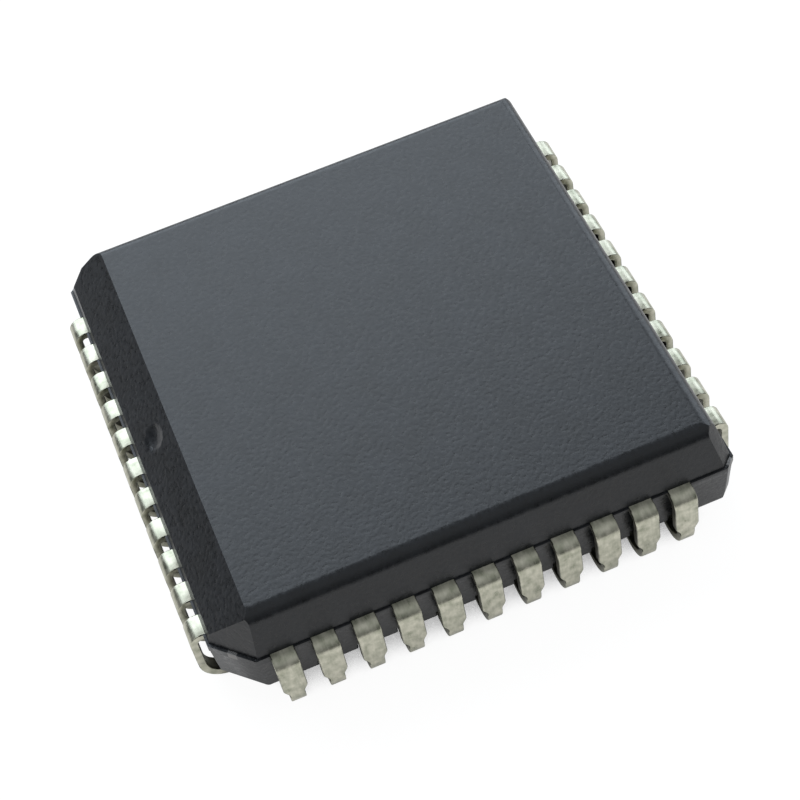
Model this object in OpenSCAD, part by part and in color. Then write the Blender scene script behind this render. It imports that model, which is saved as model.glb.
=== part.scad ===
// Plastic leaded chip carrier: a moulded square body with J-shaped leads on all four sides.
// Millimetres. The board's surface is z = 0, the origin is at the middle of the package,
// +Y is the side of pin 1 and the pins count counter-clockwise seen from above.

/* [Package] */
// Leads on each side, an odd number so that pin 1 is in the middle of its side
leads_per_side = 11; // [9:2:13]
// Spacing of the leads along a side
lead_pitch = 1.27; // [1.2:0.01:1.4]
// From the middle of a side's last lead to the edge of the body
corner_margin = 1.945; // [1.8:0.005:2.4]
// Height of the top face above the board
package_height = 4.37; // [4.2:0.01:4.7]
// Height of the upper face of the lead frame above the board
frame_top = 2.74; // [2.6:0.01:2.9]
// Height of the underside above the board
standoff = 0.56; // [0.5:0.01:0.7]

/* [Body] */
// How far the upper half is set back over the rim
upper_setback = 0.07; // [0.03:0.01:0.12]
// Slope of the sides above the lead frame, in degrees
upper_draft = 14; // [8:0.5:16]
// Rounding of the top edges
top_edge_radius = 0.5; // [0.3:0.01:0.6]
// How far the top face is set back from the body's edge along the side of pin 1
bevel_setback = 1.41; // [1.3:0.01:1.5]
// Slope of that side's bevel below the level, in degrees
bevel_angle = 45; // [40:1:50]
// Width of the round dimple in the bevel that marks pin 1
dimple_width = 1; // [0.7:0.05:1.2]
// Depth of the dimple
dimple_depth = 0.1; // [0.05:0.01:0.15]
// Chamfer of the corner after pin 1
index_corner = 1.14; // [1:0.01:1.25]
// Chamfer of the two corners next to it
side_corner = 0.35; // [0.25:0.01:0.5]
// Chamfer of the corner opposite it
far_corner = 0.2; // [0.1:0.01:0.3]
// How far the lower half is set back under the rim
lower_setback = 0.02; // [0.01:0.01:0.15]
// Slope of the sides below the rim, in degrees
lower_draft = 4; // [3:0.5:8]
// Width of the bevel round the underside
foot_bevel_width = 0.35; // [0.2:0.01:0.45]
// Height of the bevel round the underside
foot_bevel_height = 0.53; // [0.4:0.01:0.65]

/* [Underside] */
// Height of the pockets that take the tips of the leads
pocket_height = 0.75; // [0.5:0.01:0.9]
// Room beside a lead in its pocket
pocket_side_clearance = 0.115; // [0.08:0.005:0.15]
// Room between the tip of a lead and the end of its pocket
pocket_end_clearance = 0.35; // [0.2:0.01:0.5]
// From the body's edge to the middle of an ejector mark
mark_inset = 3.8; // [3.7:0.05:4.2]
// Width of an ejector mark
mark_width = 3.1; // [2.6:0.05:3.2]
// Width of the raised core of an ejector mark
mark_core_width = 2; // [1.6:0.05:2.3]
// Depth of an ejector mark
mark_depth = 0.1; // [0.06:0.01:0.15]
// How far the core lies below the underside's face
mark_core_drop = 0.03; // [0.02:0.005:0.05]

/* [Leads] */
// Thickness of the lead frame
lead_thickness = 0.25; // [0.2:0.01:0.28]
// Width of a lead where it leaves the body
lead_width = 0.76; // [0.66:0.01:0.81]
// Width of a lead's foot
foot_width = 0.48; // [0.4:0.01:0.53]
// From the body's edge to the outer face of the leads
lead_reach = 0.47; // [0.45:0.01:0.55]
// Inner radius of the bend at a lead's shoulder
shoulder_radius = 0.15; // [0.1:0.01:0.17]
// Outer radius of the hook under the body
hook_radius = 0.95; // [0.85:0.01:1]
// How far the hook turns past its lowest point, in degrees
hook_angle = 65; // [50:1:75]
// Height of the narrow end of a lead's taper above the hook
taper_lift = 0.05; // [0.02:0.01:0.1]
// Height of a lead's taper
taper_height = 0.35; // [0.25:0.01:0.5]

/* [Inside] */
// From the body's edge to the edge of the die paddle
paddle_margin = 4.495; // [4.3:0.005:4.8]
// Gap between the paddle and the tips of the inner leads
paddle_gap = 0.35; // [0.25:0.01:0.5]
// Width of an inner lead's tip
tip_width = 0.4; // [0.3:0.01:0.42]
// From the last inner tip of a side to the corner line
tip_corner = 0.85; // [0.75:0.01:1]
// Length of an inner lead's straight root
root_length = 0.9; // [0.6:0.01:1.2]
// Width of the bars that hold the paddle at the corners
tie_bar_width = 0.3; // [0.2:0.01:0.35]
// From the edge of the paddle to the edge of the die
die_margin = 1.1; // [1:0.01:1.3]
// Thickness of the die
die_thickness = 0.38; // [0.3:0.01:0.45]
// Thickness of the adhesive under the die
bond_line = 0.04; // [0.02:0.01:0.06]
// How far the adhesive shows round the die
bond_fillet = 0.1; // [0.05:0.01:0.2]
// From the last bond pad of a side to the corner of the die
pad_corner = 0.6; // [0.5:0.01:0.8]
// From the edge of the die to the bond pads
pad_inset = 0.15; // [0.1:0.01:0.2]
// Thickness of a bond wire
wire_size = 0.03; // [0.02:0.005:0.04]
// Rise of a bond wire above the die
wire_rise = 0.2; // [0.12:0.01:0.3]
// Length of a bond wire's flat top
wire_top = 0.45; // [0.35:0.01:0.55]
// From the tip of an inner lead to the middle of the wire's stitch
stitch_setback = 0.25; // [0.15:0.01:0.35]
// Length of the stitch
stitch_length = 0.1; // [0.08:0.01:0.14]

/* [Hidden] */
$fn = 64;
// Straight pieces in a rounded top edge
edge_steps = 6;
// Longer than anything in the package
far_out = 60;
// Room by which a cut runs past the face it opens
past = 0.5;

middle_lead = (leads_per_side - 1) / 2;
lead_count = 4 * leads_per_side;
body_half = middle_lead * lead_pitch + corner_margin;
frame_bottom = frame_top - lead_thickness;

// Outer face of the leads, and the bends between it and the body
lead_face = body_half + lead_reach;
shoulder_outer = shoulder_radius + lead_thickness;
shoulder_start = lead_face - shoulder_outer;
hook_centre = lead_face - hook_radius;
hook_tip = hook_centre - hook_radius * sin(hook_angle);
taper_bottom = hook_radius + taper_lift;

// Pockets of the underside
pocket_end = hook_tip - pocket_end_clearance;
pocket_width = foot_width + 2 * pocket_side_clearance;
mark_centre = body_half - mark_inset;

// Sides of the body, as distances from the middle
upper_base = body_half - upper_setback;
top_edge = upper_base - (package_height - frame_top) * tan(upper_draft);
bevel_edge = body_half - bevel_setback;
lower_top = body_half - lower_setback;
foot_bevel_top = standoff + foot_bevel_height;
lower_side = lower_top - (frame_bottom - foot_bevel_top) * tan(lower_draft);
foot_edge = lower_side - foot_bevel_width;
foot_slope = atan(foot_bevel_width / foot_bevel_height);

// Pieces inside the body
paddle_half = body_half - paddle_margin;
tip_reach = paddle_half + paddle_gap;
tip_pitch = (tip_reach - tip_corner) / middle_lead;
root_end = body_half - root_length;
die_half = paddle_half - die_margin;
die_bottom = frame_top + bond_line;
die_top = die_bottom + die_thickness;
pad_reach = die_half - pad_inset;
pad_pitch = (die_half - pad_corner) / middle_lead;
stitch_reach = tip_reach + stitch_setback;

mould_colour = "#545a5f";
tin_colour = "#c9cbc2";
copper_colour = "#b87f56";
adhesive_colour = "#d9d9d4";
silicon_colour = "#5b5f75";
gold_colour = "#d8a93c";

function lead_name(pin) = str("lead_", pin < 10 ? "0" : "", pin);

// Place of a pin in the row that starts at the +X end of the side of pin 1
function place(pin) = (pin - 1 + middle_lead) % lead_count;
// Number of the side that a pin is on: 0 is +Y, then -X, -Y and +X
function side_of(pin) = floor(place(pin) / leads_per_side);
// Steps of a pin from the middle of its side
function step_of(pin) = place(pin) % leads_per_side - middle_lead;

// Points of an arc in a section of the body
function arc(centre, radius, from, to) = [
    for (i = [0:edge_steps])
        let (angle = from + (to - from) * i / edge_steps)
            centre + radius * [cos(angle), sin(angle)]
];

function mirrored(points) = [for (i = [len(points) - 1:-1:0]) [-points[i][0], points[i][1]]];

// Right-hand outline of the upper half with a rounded top edge
function rounded_side() =
    let (
        centre_z = package_height - top_edge_radius,
        side_there = upper_base - (centre_z - frame_top) * tan(upper_draft),
        centre = [side_there - top_edge_radius / cos(upper_draft), centre_z]
    )
    concat([[upper_base, frame_top]], arc(centre, top_edge_radius, upper_draft, 90));

// Right-hand outline of the upper half with the bevel of the side of pin 1
function bevelled_side() =
    let (
        run = top_edge - bevel_edge,
        drop = run / (1 / tan(bevel_angle) - tan(upper_draft))
    )
    [
        [upper_base, frame_top],
        [top_edge + drop * tan(upper_draft), package_height - drop],
        [bevel_edge, package_height]
    ];

// Right-hand outline of the lower half
function lower_outline() = [
    [foot_edge, standoff],
    [lower_side, foot_bevel_top],
    [lower_top, frame_bottom]
];

// Square outline of the rim with the body's four corner chamfers
module plan() {
    h = body_half;
    polygon([
        [h - side_corner, h], [-h + index_corner, h],
        [-h, h - index_corner], [-h, -h + side_corner],
        [-h + side_corner, -h], [h - far_corner, -h],
        [h, -h + far_corner], [h, h - side_corner]
    ]);
}

// Section through the body, with the points' second value as height, run along Y
module along_y(points) {
    rotate([90, 0, 0])
        linear_extrude(far_out, center = true)
            polygon(points);
}

// The same section run along X, with the points' first value along Y
module along_x(points) {
    rotate([90, 0, 90])
        linear_extrude(far_out, center = true)
            polygon(points);
}

// Cuts off a corner by a face that leans inwards away from the lead frame
module corner_cut(turn, chamfer, setback, level, lean) {
    reach = (2 * (body_half - setback) - chamfer) / sqrt(2);
    rotate([0, 0, turn])
        translate([reach, 0, level])
            rotate([0, -lean, 0])
                translate([0, -far_out / 2, -far_out / 2])
                    cube(far_out);
}

// Cuts all four corners; the small ones lean so that they keep their width as the sides close in
module corner_cuts(setback, level, draft) {
    even_lean = atan(sqrt(2) * tan(draft));
    corner_cut(135, index_corner, setback, level, draft);
    corner_cut(45, side_corner, setback, level, even_lean);
    corner_cut(225, side_corner, setback, level, even_lean);
    corner_cut(315, far_corner, setback, level, even_lean);
}

module upper_half() {
    difference() {
        intersection() {
            along_y(concat(rounded_side(), mirrored(rounded_side())));
            along_x(concat(bevelled_side(), mirrored(rounded_side())));
        }
        corner_cuts(upper_setback, frame_top, upper_draft);
    }
}

module rim() {
    translate([0, 0, frame_bottom])
        linear_extrude(lead_thickness)
            plan();
}

module lower_half() {
    difference() {
        intersection() {
            along_y(concat(lower_outline(), mirrored(lower_outline())));
            along_x(concat(lower_outline(), mirrored(lower_outline())));
        }
        corner_cuts(lower_setback, frame_bottom, -lower_draft);
        corner_cuts(body_half - lower_side, foot_bevel_top, -foot_slope);
    }
}

// Shallow dish in the middle of the bevel of the side of pin 1
module dimple() {
    dish_radius = (pow(dimple_width / 2, 2) + pow(dimple_depth, 2)) / (2 * dimple_depth);
    low = bevelled_side()[1];
    middle = (low + [bevel_edge, package_height]) / 2;
    translate([0, middle[0], middle[1]])
        rotate([90 - bevel_angle, 0, 0])
            translate([0, dish_radius - dimple_depth, 0])
                sphere(dish_radius);
}

// Ring round a raised core, left by an ejector pin
module ejector_mark() {
    difference() {
        translate([0, 0, standoff - past])
            cylinder(h = past + mark_depth, d = mark_width);
        translate([0, 0, standoff + mark_core_drop])
            cylinder(h = mark_depth, d = mark_core_width);
    }
}

module ejector_marks() {
    for (x = [-mark_centre, mark_centre], y = [-mark_centre, mark_centre])
        translate([x, y, 0])
            ejector_mark();
}

module pockets() {
    for (pin = [1:lead_count])
        on_side(pin)
            translate([pocket_end, step_of(pin) * lead_pitch - pocket_width / 2, standoff - past])
                cube([far_out, pocket_width, past + pocket_height]);
}

// Turns a shape whose outward direction is +X to the side that a pin is on
module on_side(pin) {
    rotate([0, 0, 90 * (side_of(pin) + 1)])
        children();
}

// Flat part of a lead, from its tip inside the body to the start of the shoulder
module inner_lead(step) {
    t = step * lead_pitch;
    tip = step * tip_pitch;
    translate([0, 0, frame_bottom])
        linear_extrude(lead_thickness)
            polygon([
                [tip_reach, tip - tip_width / 2],
                [root_end, t - lead_width / 2],
                [shoulder_start, t - lead_width / 2],
                [shoulder_start, t + lead_width / 2],
                [root_end, t + lead_width / 2],
                [tip_reach, tip + tip_width / 2]
            ]);
}

// Bend of a strip round an axis along Y, which starts at +X and turns upwards
module strip_bend(inner_radius, width, turn) {
    rotate([90, 0, 0])
        rotate_extrude(angle = turn)
            translate([inner_radius, -width / 2])
                square([lead_thickness, width]);
}

module shoulder() {
    translate([shoulder_start, 0, frame_top - shoulder_outer])
        strip_bend(shoulder_radius, lead_width, 90);
}

module hook() {
    translate([hook_centre, 0, hook_radius])
        mirror([0, 0, 1])
            strip_bend(hook_radius - lead_thickness, foot_width, 90 + hook_angle);
}

// Upright part of a lead, which narrows towards its foot
module shank() {
    wide = lead_width / 2;
    narrow = foot_width / 2;
    taper_top = taper_bottom + taper_height;
    shank_top = frame_top - shoulder_outer;
    translate([lead_face - lead_thickness, 0, 0])
        rotate([90, 0, 90])
            linear_extrude(lead_thickness)
                polygon([
                    [-narrow, hook_radius], [narrow, hook_radius],
                    [narrow, taper_bottom], [wide, taper_top],
                    [wide, shank_top], [-wide, shank_top],
                    [-wide, taper_top], [-narrow, taper_bottom]
                ]);
}

// Bond wire from a pad of the die to the inner tip of the lead at this step
module wire(step) {
    pad = [pad_reach, step * pad_pitch];
    lean = (step * lead_pitch - step * tip_pitch) / (root_end - tip_reach);
    stitch = [stitch_reach, step * tip_pitch + lean * stitch_setback];
    span = stitch - pad;
    length = norm(span);
    half = wire_size / 2;
    high = die_top + wire_rise;
    translate([pad[0], pad[1], 0])
        rotate([90, 0, atan2(span[1], span[0])])
            linear_extrude(wire_size, center = true)
                polygon([
                    [-half, die_top], [-half, high], [wire_top, high],
                    [length - stitch_length / 2 + wire_size, frame_top + wire_size],
                    [length + stitch_length / 2, frame_top + wire_size],
                    [length + stitch_length / 2, frame_top],
                    [length - stitch_length / 2, frame_top],
                    [wire_top - half, high - wire_size],
                    [half, high - wire_size], [half, die_top]
                ]);
}

module lead(pin) {
    color(tin_colour)
        on_side(pin)
            union() {
                inner_lead(step_of(pin));
                translate([0, step_of(pin) * lead_pitch, 0]) {
                    shoulder();
                    shank();
                    hook();
                }
            }
}

module die_paddle() {
    color(copper_colour)
        translate([0, 0, frame_bottom])
            linear_extrude(lead_thickness)
                union() {
                    square(2 * paddle_half, center = true);
                    intersection() {
                        plan();
                        for (turn = [45, 135])
                            rotate(turn)
                                square([far_out, tie_bar_width], center = true);
                    }
                }
}

module die_attach() {
    size = 2 * (die_half + bond_fillet);
    color(adhesive_colour)
        translate([-size / 2, -size / 2, frame_top])
            cube([size, size, bond_line]);
}

module silicon_die() {
    size = 2 * die_half;
    color(silicon_colour)
        translate([-size / 2, -size / 2, die_bottom])
            cube([size, size, die_thickness]);
}

module bond_wires() {
    color(gold_colour)
        for (pin = [1:lead_count])
            on_side(pin)
                wire(step_of(pin));
}

// One moulding that closes round the lead frame, the die and the wires
module body() {
    color(mould_colour)
        difference() {
            union() {
                upper_half();
                rim();
                lower_half();
            }
            pockets();
            ejector_marks();
            dimple();
            for (pin = [1:lead_count])
                on_side(pin)
                    inner_lead(step_of(pin));
            die_paddle();
            die_attach();
            silicon_die();
            bond_wires();
        }
}

body();
for (pin = [1:lead_count])
    lead(pin);
die_paddle();
die_attach();
silicon_die();
bond_wires();
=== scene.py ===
"""Dresses the solids of a leaded chip carrier and stages them in a small studio."""

import math

import bmesh
import bpy
from bpy.props import FloatProperty, FloatVectorProperty, PointerProperty
from bpy.types import Operator, Panel, PropertyGroup
from mathutils import Matrix, Vector


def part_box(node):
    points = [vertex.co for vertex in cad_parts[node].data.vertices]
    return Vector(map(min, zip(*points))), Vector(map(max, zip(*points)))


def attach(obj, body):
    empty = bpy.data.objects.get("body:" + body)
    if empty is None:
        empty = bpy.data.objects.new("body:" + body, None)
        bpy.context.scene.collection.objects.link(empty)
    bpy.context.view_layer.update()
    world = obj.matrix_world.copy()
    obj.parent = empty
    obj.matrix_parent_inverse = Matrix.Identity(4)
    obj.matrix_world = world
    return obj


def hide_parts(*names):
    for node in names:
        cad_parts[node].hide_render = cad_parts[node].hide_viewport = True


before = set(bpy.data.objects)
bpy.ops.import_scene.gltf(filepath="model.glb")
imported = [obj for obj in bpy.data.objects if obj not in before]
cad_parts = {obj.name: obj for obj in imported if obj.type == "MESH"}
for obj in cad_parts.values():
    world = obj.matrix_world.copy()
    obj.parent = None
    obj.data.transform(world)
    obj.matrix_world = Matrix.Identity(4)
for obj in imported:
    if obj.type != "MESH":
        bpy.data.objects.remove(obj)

bl_info = {
    "name": "Leaded chip carrier",
    "version": (1, 0, 0),
    "blender": (4, 5, 0),
    "location": "3D View > Sidebar > Chip",
    "description": "Dresses the solids of a leaded chip carrier and stages them in a small studio",
    "category": "Object",
}

MM = 0.001
QUARTER_TURN = math.radians(90)
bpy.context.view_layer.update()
BODY_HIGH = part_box("body")[1]
# The first lead is in the middle of the +Y side, so its box gives every lead's reach
LEAD_LOW, LEAD_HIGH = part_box("lead_01")
# The paddle is as thick as the lead frame that it belongs to
FRAME_LOW, FRAME_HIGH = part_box("die_paddle")
WIRES_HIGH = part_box("bond_wires")[1]
LEAD_NAMES = sorted(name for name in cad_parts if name.startswith("lead_"))
SIDES = 4
LEADS_PER_SIDE = len(LEAD_NAMES) // SIDES
MIDDLE_LEAD = LEADS_PER_SIDE // 2
LAMP_TINT = (0.9, 1.0, 1.1)
ROOM_TINT = (0.95, 0.98, 1.0, 1)


def length(title, words, millimetres):
    """A property that holds a length, with its default in millimetres."""
    return FloatProperty(name=title, description=words, default=millimetres * MM,
                         precision=6, unit="LENGTH")


def tint(title, words, red, green, blue):
    """A property that holds a colour in linear light."""
    return FloatVectorProperty(name=title, description=words, default=(red, green, blue),
                               min=0, max=1, subtype="COLOR")


def angle(title, words, degrees):
    """A property that holds an angle, with its default in degrees."""
    return FloatProperty(name=title, description=words, default=math.radians(degrees),
                         subtype="ANGLE")


def level(title, words, value):
    """A property that holds a brightness, or how many times another one it is."""
    return FloatProperty(name=title, description=words, default=value, min=0)


class ChipMould(PropertyGroup):
    """Edges and places of the moulded body."""

    corner_edge: length("Corner edges", "Rounding of the upright edges at the corners", 0.14)
    upper_edge: length("Upper edges", "Rounding of the sharp edges above the rim", 0.05)
    rim_edge: length("Rim edge", "Rounding of the lower edge of the rim", 0.012)
    pocket_edge: length("Pocket edges", "Rounding of the edges round the lead pockets", 0.035)
    mark_edge: length("Mark edges", "Rounding of the edges of the ejector marks", 0.015)
    pocket_roof: length("Pocket roof", "Height of the roof of the lead pockets", 1.31)
    mark_reach: length("Mark reach", "How far the ejector marks reach from the middle", 6.1)
    cut_corner: length("Cut corner", "Chamfer of the corner after pin 1", 1.14)
    corner_start: length("Corner start", "Distance of the corners from the middle lines", 6.8)


class ChipLead(PropertyGroup):
    """Sizes of one lead."""

    pitch: length("Pitch", "Spacing of the leads along a side", 1.27)
    thickness: length("Thickness", "Thickness of the lead frame", (FRAME_HIGH.z - FRAME_LOW.z) / MM)
    foot_width: length("Foot width", "Width of a lead's foot", 0.48)
    shoulder: length("Shoulder", "Inner radius of the bend at the shoulder", 0.15)
    hook: length("Hook", "Outer radius of the hook under the body", 0.95)
    hook_turn: angle("Hook turn", "How far the hook turns past its lowest point", 65)
    taper_lift: length("Taper lift", "Height of the taper's narrow end above the hook", 0.05)
    taper: length("Taper", "Height of the taper", 0.35)
    tip_width: length("Tip width", "Width of the inner tip", 0.4)
    tip_pitch: length("Tip pitch", "Spacing of the inner tips along a side", 0.66)
    root: length("Root", "Length of the straight root inside the body", 0.9)
    edge: length("Edges", "Rounding of the lead's edges", 0.03)


class ChipFinish(PropertyGroup):
    """Colours and grains of the finishes."""

    mould_dark: tint("Mould, dark", "Darker tone of the mould compound", 0.004, 0.005, 0.0065)
    mould_pale: tint("Mould, pale", "Paler tone of the mould compound", 0.011, 0.013, 0.0165)
    grain: length("Grain", "Size of the grain of the mould compound", 0.14)
    grain_depth: length("Grain depth", "Depth of the grain of the mould compound", 0.01)
    mottle: length("Mottling", "Size of the mottling of the mould compound", 1.1)
    tin_dark: tint("Tin, dark", "Darker clouds of the tin plating", 0.28, 0.29, 0.22)
    tin_pale: tint("Tin, pale", "Paler tone of the tin plating", 0.605, 0.59, 0.49)
    streak: length("Streaks", "Width of the streaks in the tin plating", 0.08)
    cloud: length("Clouds", "Size of the clouds in the tin plating", 0.28)
    copper: tint("Copper alloy", "Cut ends of the lead frame", 0.24, 0.235, 0.23)
    epoxy: tint("Silver epoxy", "Adhesive under the die", 0.60, 0.60, 0.58)
    silicon: tint("Silicon", "Polished face of the die", 0.10, 0.11, 0.16)
    gold: tint("Gold", "Bond wires", 0.90, 0.62, 0.20)


class ChipStage(PropertyGroup):
    """Camera, lamps and room."""

    azimuth: angle("Azimuth", "Direction of the camera round the chip", 258.7246)
    elevation: angle("Elevation", "Height of the camera over the board", 52.4592)
    roll: angle("Roll", "Turn of the camera about its view", -12.7425)
    distance: length("Distance", "From the camera to the chip", 65.4985)
    aim_right: length("Aim right", "Frame's middle to the right of the chip's", 0.1934)
    aim_up: length("Aim up", "Frame's middle above the chip's", 0.6464)
    lens: FloatProperty(name="Lens", description="Focal length on a 36 mm sensor", default=89.624,
                        unit="CAMERA")
    lamp_distance: length("Lamp distance", "From the lamps to the chip", 200)
    softbox: level("Softbox", "Brightness of the softbox", 2.65)
    softbox_azimuth: angle("Softbox azimuth", "Direction of the softbox round the chip", 101)
    softbox_elevation: angle("Softbox elevation", "Height of the softbox over the board", 36)
    softbox_width: length("Softbox width", "Width of the softbox", 260)
    softbox_height: length("Softbox height", "Height of the softbox", 200)
    card: level("Card", "Brightness of the lit card on the right", 2.4)
    card_azimuth: angle("Card azimuth", "Direction of the lit card round the chip", 38)
    card_elevation: angle("Card elevation", "Height of the lit card over the board", 20)
    card_size: length("Card size", "Width and height of the lit card", 120)
    sky: level("Sky", "Brightness of the room overhead", 0.45)
    behind: level("Behind", "How much lighter the room is behind the camera", 1.55)


def add_node(tree, kind, inputs=None, **settings):
    """Adds a shader node, sets its fields and fills its inputs with values or links."""
    made = tree.nodes.new(kind)
    for field, value in settings.items():
        setattr(made, field, value)
    for name, value in (inputs or {}).items():
        if isinstance(value, bpy.types.NodeSocket):
            tree.links.new(value, made.inputs[name])
        else:
            made.inputs[name].default_value = value
    return made


def calculate(tree, operation, *values):
    """The result of a Math node, from values or links."""
    return add_node(tree, "ShaderNodeMath", dict(enumerate(values)), operation=operation).outputs[0]


def new_material(name):
    """An empty node material, with its tree and its output's socket for the surface."""
    material = bpy.data.materials.new(name)
    material.use_nodes = True
    tree = material.node_tree
    tree.nodes.clear()
    surface = add_node(tree, "ShaderNodeOutputMaterial").inputs["Surface"]
    return material, tree, surface


def noise(tree, grain, detail, stretch=(1, 1, 1)):
    """Noise on the piece's own coordinates, with grains of about this size."""
    place = add_node(tree, "ShaderNodeTexCoord").outputs["Object"]
    scaled = add_node(tree, "ShaderNodeMapping", {"Vector": place, "Scale": stretch})
    made = add_node(tree, "ShaderNodeTexNoise",
                    {"Vector": scaled.outputs["Vector"], "Scale": 1 / grain, "Detail": detail})
    return made.outputs["Fac"]


def spread(tree, value, low, high, start=0.3, end=0.7):
    """Turns values from start to end, by default a noise's middle range, into values from low to high."""
    made = add_node(tree, "ShaderNodeMapRange",
                    {"Value": value, "From Min": start, "From Max": end, "To Min": low, "To Max": high})
    return made.outputs["Result"]


def blend_tints(tree, share, first, second):
    """Mixes two colours by a share."""
    made = add_node(tree, "ShaderNodeMix", data_type="RGBA")
    tree.links.new(share, made.inputs["Factor"])
    # The colours of a Mix node are its seventh and eighth input and its third output
    made.inputs[6].default_value = (*first, 1)
    made.inputs[7].default_value = (*second, 1)
    return made.outputs[2]


def bump(tree, height, depth):
    """Normals of a fine relief of this depth."""
    made = add_node(tree, "ShaderNodeBump", {"Height": height, "Distance": depth})
    return made.outputs["Normal"]


def grey(tree, brightness):
    """A matt grey surface."""
    colour = (brightness, brightness, brightness, 1)
    return add_node(tree, "ShaderNodeBsdfDiffuse", {"Color": colour}).outputs["BSDF"]


def mould_compound(finish):
    """Matt moulded epoxy: a fine spark-eroded grain with a faint mottling."""
    material, tree, surface = new_material("mould_compound")
    grain = noise(tree, finish.grain, detail=3)
    mottle = noise(tree, finish.mottle, detail=3)
    share = spread(tree, calculate(tree, "ADD", grain, mottle), low=0, high=1, start=0.7, end=1.3)
    shader = add_node(tree, "ShaderNodeBsdfPrincipled", {
        "Base Color": blend_tints(tree, share, finish.mould_dark, finish.mould_pale),
        "Roughness": spread(tree, grain, low=0.25, high=0.39),
        "Specular IOR Level": 0.42,
        "Normal": bump(tree, grain, finish.grain_depth),
    })
    tree.links.new(shader.outputs["BSDF"], surface)
    return material


def tin_plate(finish, across):
    """Satin tin, cloudy with faint streaks along the lead; across is the axis over its width."""
    material, tree, surface = new_material("tin_plate_" + across)
    # Streaks are four times as long as they are wide, and fainter than the clouds
    along = 0.25
    streak_share = 0.4
    start, end = 0.45, 0.95
    stretch = (1, along, along) if across == "x" else (along, 1, along)
    streaks = noise(tree, finish.streak, 2, stretch)
    clouds = noise(tree, finish.cloud, detail=3)
    both = calculate(tree, "MULTIPLY_ADD", streaks, streak_share, clouds)
    share = spread(tree, both, 0, 1, start, end)
    shader = add_node(tree, "ShaderNodeBsdfPrincipled", {
        "Base Color": blend_tints(tree, share, finish.tin_dark, finish.tin_pale),
        "Metallic": 1.0,
        "Roughness": spread(tree, both, 0.26, 0.42, start, end),
    })
    tree.links.new(shader.outputs["BSDF"], surface)
    return material


def sealed_finish(name, colour, grain, metallic, roughness):
    """Finish of a piece that is sealed in the body, with a little variation in tone and gloss."""
    material, tree, surface = new_material(name)
    texture = noise(tree, grain, detail=2)
    shaded = 0.8
    darker = tuple(shaded * part for part in colour)
    shader = add_node(tree, "ShaderNodeBsdfPrincipled", {
        "Base Color": blend_tints(tree, texture, darker, tuple(colour)),
        "Metallic": metallic,
        "Roughness": spread(tree, texture, *roughness),
    })
    tree.links.new(shader.outputs["BSDF"], surface)
    return material


def studio_white(name):
    """White for the eye and for reflections, with a painted shadow under the chip and a painted falloff
    far from it; grey for other light.
    """
    material, tree, surface = new_material(name)
    path = add_node(tree, "ShaderNodeLightPath").outputs
    seen = calculate(tree, "MAXIMUM", path["Is Camera Ray"], path["Is Glossy Ray"])
    seen = calculate(tree, "MAXIMUM", seen, path["Is Transmission Ray"])

    # Painted shadow: the floor's glow is dimmed where ambient occlusion finds the chip near. The eye sees
    # it narrow under the chip, and reflections see a wider soft border.
    shadow_reach = 4 * MM
    open_sky = add_node(tree, "ShaderNodeAmbientOcclusion", {"Distance": shadow_reach},
                        samples=8).outputs["AO"]
    narrow = spread(tree, open_sky, low=0.1, high=1, start=0.03, end=0.18)
    wide = spread(tree, open_sky, low=0.05, high=1, start=0.15, end=0.8)
    painted_shadow = add_node(tree, "ShaderNodeMix", {"Factor": path["Is Camera Ray"], "A": wide, "B": narrow})

    # The painted white reaches past the corners of the picture and then fades: a painted falloff that
    # dims the floor's glow away from the chip.
    fade_start, fade_end = 28 * MM, 48 * MM
    place = add_node(tree, "ShaderNodeTexCoord").outputs["Object"]
    away = add_node(tree, "ShaderNodeVectorMath", {0: place}, operation="LENGTH").outputs["Value"]
    painted_falloff = spread(tree, away, 1, 0.08, fade_start, fade_end)

    # The glow's strength carries the painted shadow and the painted falloff
    strength = calculate(tree, "MULTIPLY", painted_shadow.outputs["Result"], painted_falloff)
    glow = add_node(tree, "ShaderNodeEmission", {"Color": (0.945, 0.945, 0.945, 1), "Strength": strength})
    shade = grey(tree, 0.12)
    plain = grey(tree, 0.42)
    white = add_node(tree, "ShaderNodeAddShader", {0: shade, 1: glow.outputs["Emission"]})
    mixed = add_node(tree, "ShaderNodeMixShader", {0: seen, 1: plain, 2: white.outputs["Shader"]})
    tree.links.new(mixed.outputs["Shader"], surface)
    return material


def new_piece(name, shape, material, node):
    """Makes a finished mesh the piece that stands for a solid of the frame."""
    mesh = bpy.data.meshes.new(name)
    shape.to_mesh(mesh)
    shape.free()
    mesh.shade_smooth()
    mesh.materials.append(material)
    piece = bpy.data.objects.new(name, mesh)
    bpy.context.scene.collection.objects.link(piece)
    weighted = piece.modifiers.new("Even normals", "WEIGHTED_NORMAL")
    weighted.keep_sharp = True
    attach(piece, "root")
    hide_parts(node)


def round_edges(shape, edges, width, segments=3):
    """Rounds edges over this width."""
    bmesh.ops.bevel(shape, geom=edges, offset=width, offset_type="OFFSET", segments=segments,
                    profile=0.5, affect="EDGES", clamp_overlap=True, material=-1)


def is_sealed(face, mould):
    """Whether a face of the body is on the hollow that the lead frame, the die and the wires fill."""
    hair = 0.001 * MM
    # A face at the level of the lead frame that is this near to the rim is on the outside
    skin = 0.15 * MM
    middle = face.calc_center_median()
    reach_x, reach_y = abs(middle.x), abs(middle.y)
    reach = max(reach_x, reach_y)
    rim = BODY_HIGH.x
    frame_bottom = FRAME_LOW.z - hair
    frame_top = FRAME_HIGH.z + hair
    in_corners = reach_x + reach_y < 2 * rim - mould.cut_corner - skin
    at_frame = frame_bottom < middle.z < frame_top and reach < rim - skin and in_corners
    at_wires = frame_top <= middle.z < WIRES_HIGH.z + hair and reach < WIRES_HIGH.x + hair
    return at_frame or at_wires


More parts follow.
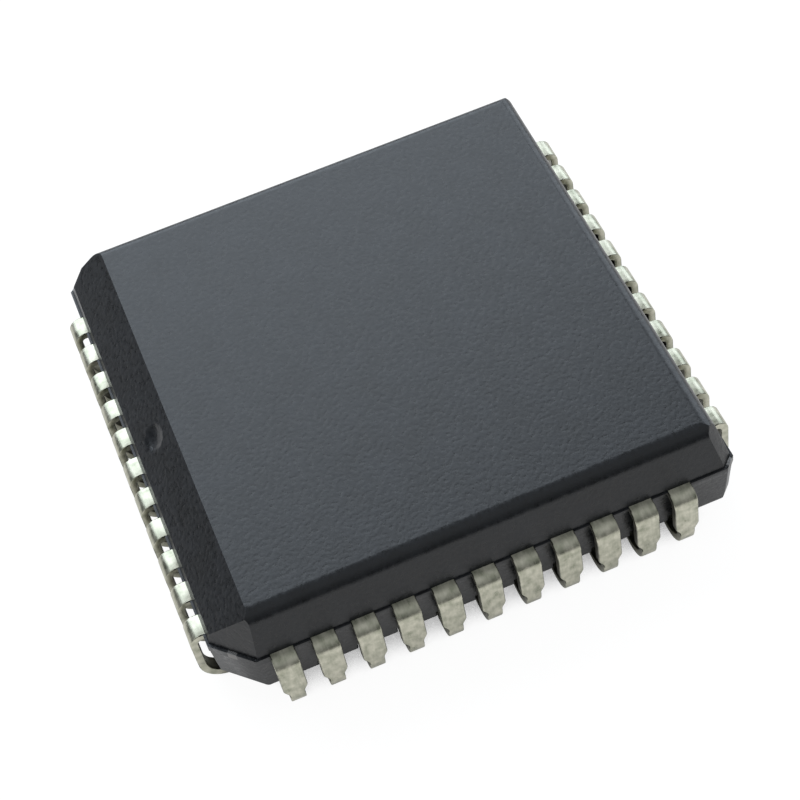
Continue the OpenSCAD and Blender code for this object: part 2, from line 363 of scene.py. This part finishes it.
def soften(shape, mould, width, chosen, segments=3, upright=False):
    """Rounds the outside edges of the body that a test picks, or only the upright ones of them."""
    sharp = math.radians(25)
    # An upright edge rises by this share of its length or more
    least_rise = 0.5
    edges = []
    for edge in shape.edges:
        if edge.calc_face_angle_signed(0) < sharp:
            continue
        rise = abs(edge.verts[0].co.z - edge.verts[1].co.z)
        if upright and rise < least_rise * edge.calc_length():
            continue
        if any(is_sealed(face, mould) for face in edge.link_faces):
            continue
        if all(chosen(vert.co) for vert in edge.verts):
            edges.append(edge)
    round_edges(shape, edges, width, segments)


def section_step(shape, section, move):
    """Carries the end face of a lead on by a straight move."""
    made = bmesh.ops.extrude_face_region(shape, geom=[section])["geom"]
    moved = [part for part in made if isinstance(part, bmesh.types.BMVert)]
    bmesh.ops.translate(shape, verts=moved, vec=move)
    return next(part for part in made if isinstance(part, bmesh.types.BMFace))


def section_width(shape, section, middle, share):
    """Widens or narrows the end face of a lead about its middle line."""
    bmesh.ops.scale(shape, verts=section.verts, vec=(1, share, 1),
                    space=Matrix.Translation((0, -middle, 0)))


def section_bend(shape, section, centre, turn, steps):
    """Bends a lead on from its end face about a line along Y."""
    made = bmesh.ops.spin(shape, geom=[section], cent=centre, axis=(0, 1, 0), angle=turn, steps=steps)
    return next(part for part in made["geom_last"] if isinstance(part, bmesh.types.BMFace))


def lead_shape(sizes, step):
    """One lead with +X as its outward direction, from its inner tip to the end of its hook."""
    shape = bmesh.new()
    shoulder_steps, taper_steps, hook_steps = 8, 8, 20
    width = LEAD_HIGH.x - LEAD_LOW.x
    face, top, tip_reach = LEAD_HIGH.y, LEAD_HIGH.z, LEAD_LOW.y
    middle = step * sizes.pitch
    tip = step * sizes.tip_pitch
    half_tip = sizes.tip_width / 2
    shoulder_outer = sizes.shoulder + sizes.thickness
    shoulder_start = face - shoulder_outer
    root_start = BODY_HIGH.x - sizes.root
    corners = ((-half_tip, top - sizes.thickness), (half_tip, top - sizes.thickness),
               (half_tip, top), (-half_tip, top))
    section = shape.faces.new([shape.verts.new((tip_reach, tip + y, z)) for y, z in corners])

    # From the inner tip out to the shoulder
    section = section_step(shape, section, (root_start - tip_reach, middle - tip, 0))
    section_width(shape, section, middle, width / sizes.tip_width)
    section = section_step(shape, section, (shoulder_start - root_start, 0, 0))
    section = section_bend(shape, section, (shoulder_start, middle, top - shoulder_outer),
                           QUARTER_TURN, shoulder_steps)

    # Down through the taper, which starts and ends softly, and round the hook
    taper_top = sizes.hook + sizes.taper_lift + sizes.taper
    section = section_step(shape, section, (0, 0, taper_top - (top - shoulder_outer)))
    last_width = width
    for number in range(1, taper_steps + 1):
        share = number / taper_steps
        eased = share * share * (3 - 2 * share)
        next_width = width + (sizes.foot_width - width) * eased
        section = section_step(shape, section, (0, 0, -sizes.taper / taper_steps))
        section_width(shape, section, middle, next_width / last_width)
        last_width = next_width
    section = section_step(shape, section, (0, 0, -sizes.taper_lift))
    section_bend(shape, section, (face - sizes.hook, middle, sizes.hook),
                 QUARTER_TURN + sizes.hook_turn, hook_steps)

    bmesh.ops.recalc_face_normals(shape, faces=shape.faces)
    corner = math.radians(60)
    round_edges(shape, [edge for edge in shape.edges if edge.calc_face_angle(0) > corner], sizes.edge)
    return shape


def direction(azimuth, elevation):
    """Unit vector towards a point round and above the chip."""
    return Vector((math.sin(azimuth) * math.cos(elevation),
                   -math.cos(azimuth) * math.cos(elevation),
                   math.sin(elevation)))


class CHIP_OT_mould_body(Operator):
    """Make the moulded body from the solid, with softened edges"""

    bl_idname = "chip.mould_body"
    bl_label = "Moulded body"

    def execute(self, context):
        mould = context.scene.chip_mould
        merge_distance = 0.0001 * MM
        flat = math.radians(0.5)
        shape = bmesh.new()
        shape.from_mesh(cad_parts["body"].data)
        bmesh.ops.remove_doubles(shape, verts=shape.verts, dist=merge_distance)
        bmesh.ops.dissolve_limit(shape, angle_limit=flat, verts=shape.verts, edges=shape.edges)
        hair = 0.01 * MM
        roof = mould.pocket_roof + hair
        under_rim = FRAME_LOW.z - hair
        over_rim = FRAME_HIGH.z - hair

        def on_mark(place):
            return place.z < roof and max(abs(place.x), abs(place.y)) < mould.mark_reach

        def on_pocket(place):
            return place.z < under_rim and not on_mark(place)

        def on_rim(place):
            return under_rim <= place.z < over_rim

        def on_top(place):
            return place.z >= over_rim

        def on_corner(place):
            at_cut_corner = place.x < 0 < place.y
            out = min(abs(place.x), abs(place.y)) > mould.corner_start
            return place.z > roof and out and not at_cut_corner

        soften(shape, mould, mould.corner_edge, on_corner, segments=4, upright=True)
        soften(shape, mould, mould.mark_edge, on_mark, segments=2)
        soften(shape, mould, mould.pocket_edge, on_pocket)
        soften(shape, mould, mould.rim_edge, on_rim, segments=2)
        soften(shape, mould, mould.upper_edge, on_top)
        # Edges that are still steep are mostly inner corners, where faces meet without a rounding
        steep = math.radians(50)
        for edge in shape.edges:
            edge.smooth = edge.calc_face_angle(0) < steep
        new_piece("moulded_body", shape, mould_compound(context.scene.chip_finish),
                  "body")
        return {"FINISHED"}


class CHIP_OT_bend_leads(Operator):
    """Bend the leads of all four sides"""

    bl_idname = "chip.bend_leads"
    bl_label = "J-shaped leads"

    def execute(self, context):
        sizes = context.scene.chip_lead
        finish = context.scene.chip_finish
        plating = {across: tin_plate(finish, across) for across in "xy"}
        for number, name in enumerate(LEAD_NAMES):
            place = (number + MIDDLE_LEAD) % len(LEAD_NAMES)
            side, along = divmod(place, LEADS_PER_SIDE)
            shape = lead_shape(sizes, along - MIDDLE_LEAD)
            turn = Matrix.Rotation(QUARTER_TURN * (side + 1), 3, "Z")
            bmesh.ops.rotate(shape, verts=shape.verts, matrix=turn)
            across = "x" if side % 2 == 0 else "y"
            new_piece("bent_" + name, shape, plating[across], name)
        return {"FINISHED"}


class CHIP_OT_finish_inside(Operator):
    """Give the pieces that are sealed in the body their finishes"""

    bl_idname = "chip.finish_inside"
    bl_label = "Sealed pieces"

    def execute(self, context):
        finish = context.scene.chip_finish
        finishes = {
            "die_paddle": sealed_finish("copper_frame", finish.copper, grain=0.2 * MM,
                                        metallic=1.0, roughness=(0.45, 0.6)),
            "die_attach": sealed_finish("die_adhesive", finish.epoxy, grain=0.05 * MM,
                                        metallic=0.3, roughness=(0.5, 0.7)),
            "silicon_die": sealed_finish("silicon", finish.silicon, grain=0.4 * MM,
                                         metallic=0.6, roughness=(0.08, 0.15)),
            "bond_wires": sealed_finish("gold_wire", finish.gold, grain=0.05 * MM,
                                        metallic=1.0, roughness=(0.15, 0.25)),
        }
        for name, material in finishes.items():
            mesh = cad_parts[name].data
            mesh.materials.clear()
            mesh.materials.append(material)
        return {"FINISHED"}


class CHIP_OT_set_stage(Operator):
    """Set up the floor, the light and the camera"""

    bl_idname = "chip.set_stage"
    bl_label = "Floor, light and camera"

    def execute(self, context):
        stage = context.scene.chip_stage
        self.lay_floor(context)
        self.light(context, stage)
        self.aim_camera(context, stage)
        context.scene.view_settings.view_transform = "Standard"
        return {"FINISHED"}

    def lay_floor(self, context):
        """A white sweep: a round floor that curves up into a low wall."""
        shape = bmesh.new()
        radius, cove, wall = 0.5, 0.04, 0.06
        merge_distance = 0.001 * MM
        outline = ((0, 0), (radius - cove, 0), (radius, cove), (radius, wall))
        profile = [shape.verts.new((reach, 0, height)) for reach, height in outline]
        for pair in zip(profile, profile[1:]):
            shape.edges.new(pair)
        bmesh.ops.bevel(shape, geom=[profile[1], profile[2]], offset=cove / 4, offset_type="OFFSET",
                        segments=4, profile=0.5, affect="VERTICES", material=-1)
        bmesh.ops.spin(shape, geom=shape.verts[:] + shape.edges[:], cent=(0, 0, 0), axis=(0, 0, 1),
                       angle=math.tau, steps=64, use_merge=True)
        bmesh.ops.remove_doubles(shape, verts=shape.verts, dist=merge_distance)
        bmesh.ops.recalc_face_normals(shape, faces=shape.faces)
        mesh = bpy.data.meshes.new("sweep")
        shape.to_mesh(mesh)
        shape.free()
        mesh.shade_smooth()
        mesh.materials.append(studio_white("sweep_white"))
        sweep = bpy.data.objects.new("sweep", mesh)
        context.scene.collection.objects.link(sweep)

    def light(self, context, stage):
        """A large softbox over the far side of the chip and a lit card on its right, in a dim room."""
        softbox_way = direction(stage.softbox_azimuth, stage.softbox_elevation)
        self.hang_lamp(context, "softbox", stage.softbox, stage.softbox_width, stage.softbox_height,
                       softbox_way * stage.lamp_distance)
        card_way = direction(stage.card_azimuth, stage.card_elevation)
        self.hang_lamp(context, "card", stage.card, stage.card_size, stage.card_size,
                       card_way * stage.lamp_distance)
        context.scene.world = self.dim_room(stage)

    def dim_room(self, stage):
        """A room that is dark at the level of the chip, and lighter overhead and behind the camera."""
        world = bpy.data.worlds.new("room")
        world.use_nodes = True
        tree = world.node_tree
        way = add_node(tree, "ShaderNodeTexCoord").outputs["Generated"]
        parts = add_node(tree, "ShaderNodeSeparateXYZ", {"Vector": way}).outputs
        dark_share = 0.15
        overhead = spread(tree, parts["Z"], dark_share * stage.sky, stage.sky, start=0, end=1)
        # The camera is on the -X side
        behind = spread(tree, parts["X"], stage.behind, 1, start=-0.5, end=0.3)
        background = tree.nodes["Background"]
        background.inputs["Color"].default_value = ROOM_TINT
        tree.links.new(calculate(tree, "MULTIPLY", overhead, behind), background.inputs["Strength"])
        return world

    def hang_lamp(self, context, name, brightness, width, height, place):
        """A lamp that faces the chip, seen from it as a surface of this brightness."""
        lamp = bpy.data.lights.new(name, "AREA")
        lamp.shape = "RECTANGLE"
        lamp.size = width
        lamp.size_y = height
        lamp.energy = brightness * math.pi * width * height
        lamp.color = LAMP_TINT
        hung = bpy.data.objects.new(name, lamp)
        context.scene.collection.objects.link(hung)
        hung.location = place
        hung.rotation_euler = place.to_track_quat("Z", "Y").to_euler()
        hung.visible_camera = False

    def aim_camera(self, context, stage):
        """The camera of the photograph, with its frame on the chip."""
        back = direction(stage.azimuth, stage.elevation)
        right = Vector((0, 0, 1)).cross(back).normalized()
        up = back.cross(right)
        turned_right = math.cos(stage.roll) * right + math.sin(stage.roll) * up
        turned_up = math.cos(stage.roll) * up - math.sin(stage.roll) * right
        aim = stage.aim_right * turned_right + stage.aim_up * turned_up
        camera = bpy.data.objects.new("camera", bpy.data.cameras.new("camera"))
        context.scene.collection.objects.link(camera)
        camera.location = aim + stage.distance * back
        camera.rotation_euler = Matrix((turned_right, turned_up, back)).transposed().to_euler()
        camera.data.sensor_width = 36
        camera.data.lens = stage.lens
        camera.data.clip_start = 1 * MM
        camera.data.clip_end = 10
        context.scene.camera = camera


class CHIP_PT_panel(Panel):
    """Lists the steps that dress and stage the chip carrier"""

    bl_idname = "CHIP_PT_panel"
    bl_label = "Leaded chip carrier"
    bl_space_type = "VIEW_3D"
    bl_region_type = "UI"
    bl_category = "Chip"

    def draw(self, context):
        column = self.layout.column()
        for operator in OPERATORS:
            column.operator(operator.bl_idname)


GROUPS = {"chip_mould": ChipMould, "chip_lead": ChipLead, "chip_finish": ChipFinish,
          "chip_stage": ChipStage}
OPERATORS = (CHIP_OT_set_stage, CHIP_OT_mould_body, CHIP_OT_bend_leads, CHIP_OT_finish_inside)


def register():
    """Makes the property groups, the operators and the panel known to Blender."""
    for name, group in GROUPS.items():
        bpy.utils.register_class(group)
        setattr(bpy.types.Scene, name, PointerProperty(type=group))
    for operator in OPERATORS:
        bpy.utils.register_class(operator)
    bpy.utils.register_class(CHIP_PT_panel)


def unregister():
    """Takes away again what register made known."""
    bpy.utils.unregister_class(CHIP_PT_panel)
    for operator in reversed(OPERATORS):
        bpy.utils.unregister_class(operator)
    for name, group in GROUPS.items():
        delattr(bpy.types.Scene, name)
        bpy.utils.unregister_class(group)


def main():
    """Runs the steps in order."""
    register()
    bpy.ops.chip.set_stage()
    bpy.ops.chip.mould_body()
    bpy.ops.chip.bend_leads()
    bpy.ops.chip.finish_inside()


if __name__ == "__main__":
    main()
